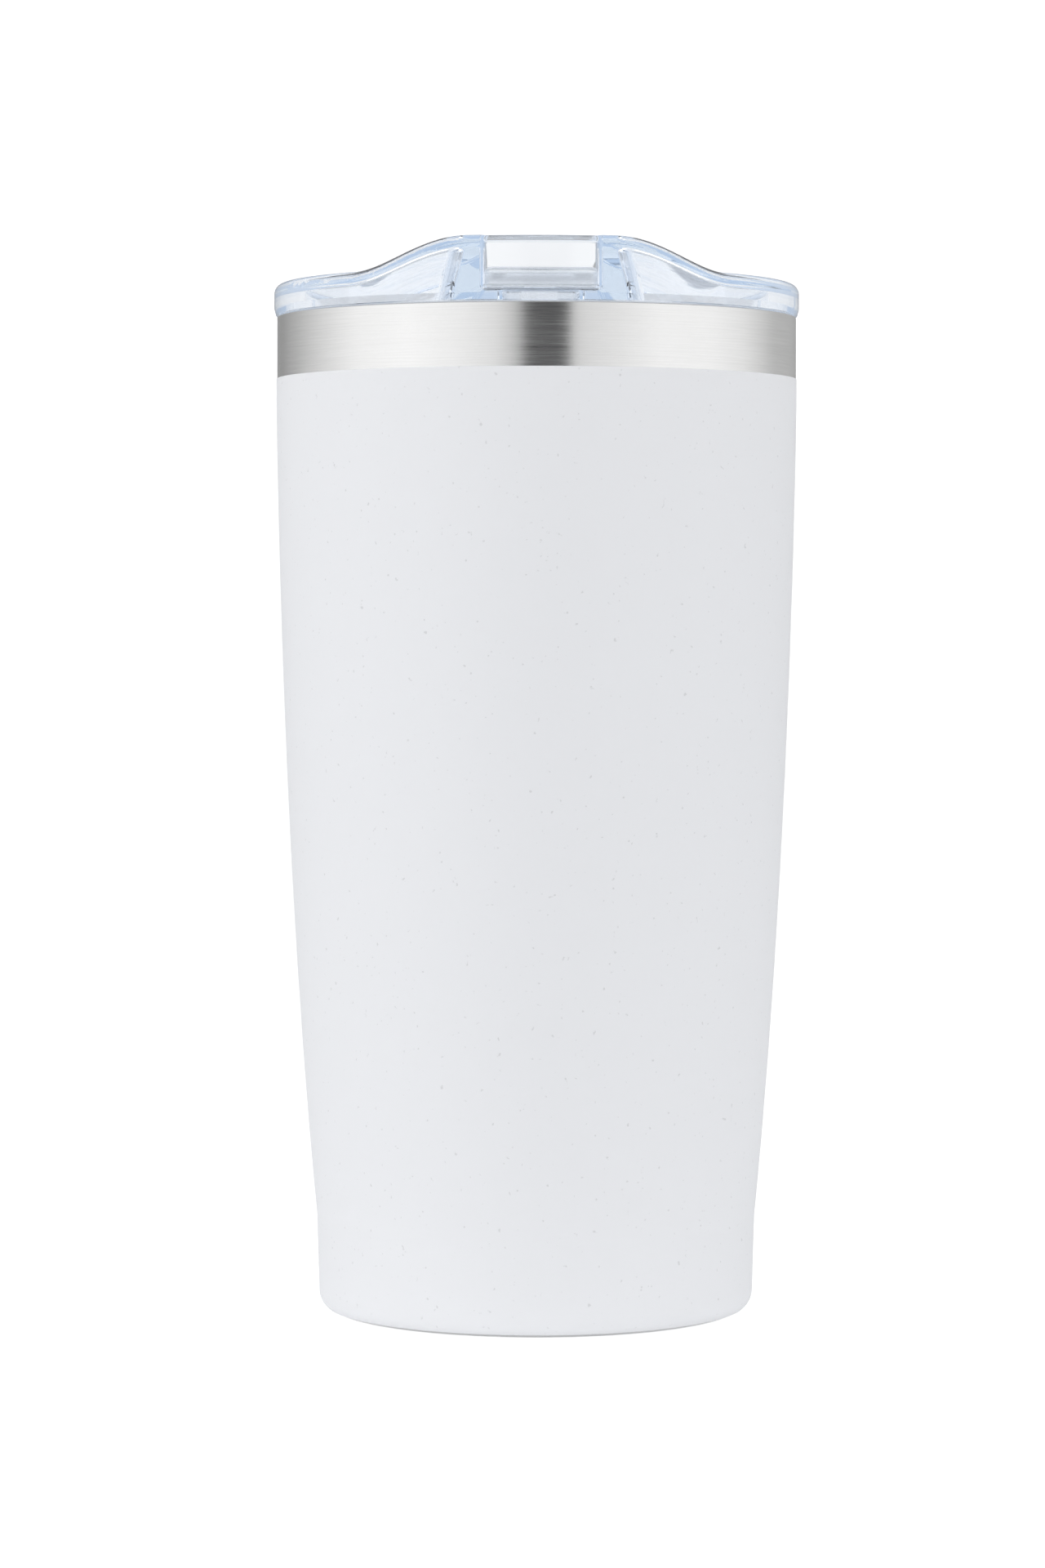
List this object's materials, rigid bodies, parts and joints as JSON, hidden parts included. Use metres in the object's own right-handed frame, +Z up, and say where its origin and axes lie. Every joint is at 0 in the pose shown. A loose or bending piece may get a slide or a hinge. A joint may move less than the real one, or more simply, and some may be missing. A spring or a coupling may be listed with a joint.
{
  "type": "insulated tumbler",
  "caption": "Vacuum-insulated steel tumbler with a powder-coated body and a clear press-in lid with a thumb slide over the drinking hole.",
  "frame": {"origin": "centre of the foot, on the surface that the tumbler stands on", "axes": "+Z up the tumbler's axis, -Y towards the drinker, at the drinking hole; the lid's bridge runs along Y"},
  "size_m": [0.0886, 0.0886, 0.1779],
  "materials": {
    "brushed_steel": "fine brushing around the band",
    "powder_coat": "matte white powder coat",
    "liner_steel": "satin",
    "base_steel": "satin",
    "copper": "bright copper foil",
    "solder_glass": "glossy bead",
    "getter_alloy": "matte sintered",
    "clear_plastic": "clear, slightly blue, polished",
    "slide_plastic": "clear, slightly blue, polished",
    "silicone": "translucent silicone"
  },
  "bodies": {
    "tumbler": {"outer_wall": "brushed_steel", "powder_coat": "powder_coat", "inner_liner": "liner_steel", "liner_bottom": "liner_steel", "copper_foil": "copper", "vacuum_base": "base_steel", "seal_bead": "solder_glass", "base_cover": "base_steel", "getter": "getter_alloy", "getter_clip": "base_steel"},
    "lid": {"lid_body": "clear_plastic", "lid_gasket": "silicone"},
    "slide": {"thumb_slide": "slide_plastic", "slide_shoe": "slide_plastic"}
  },
  "joints": [
    {"name": "lid_lift", "type": "slide", "parent": "tumbler", "child": "lid", "axis": [0, 0, 1], "range_m": [0, 0.06]},
    {"name": "slide_travel", "type": "slide", "parent": "lid", "child": "slide", "axis": [0, 1, 0], "range_m": [0, 0.014]}
  ]
}
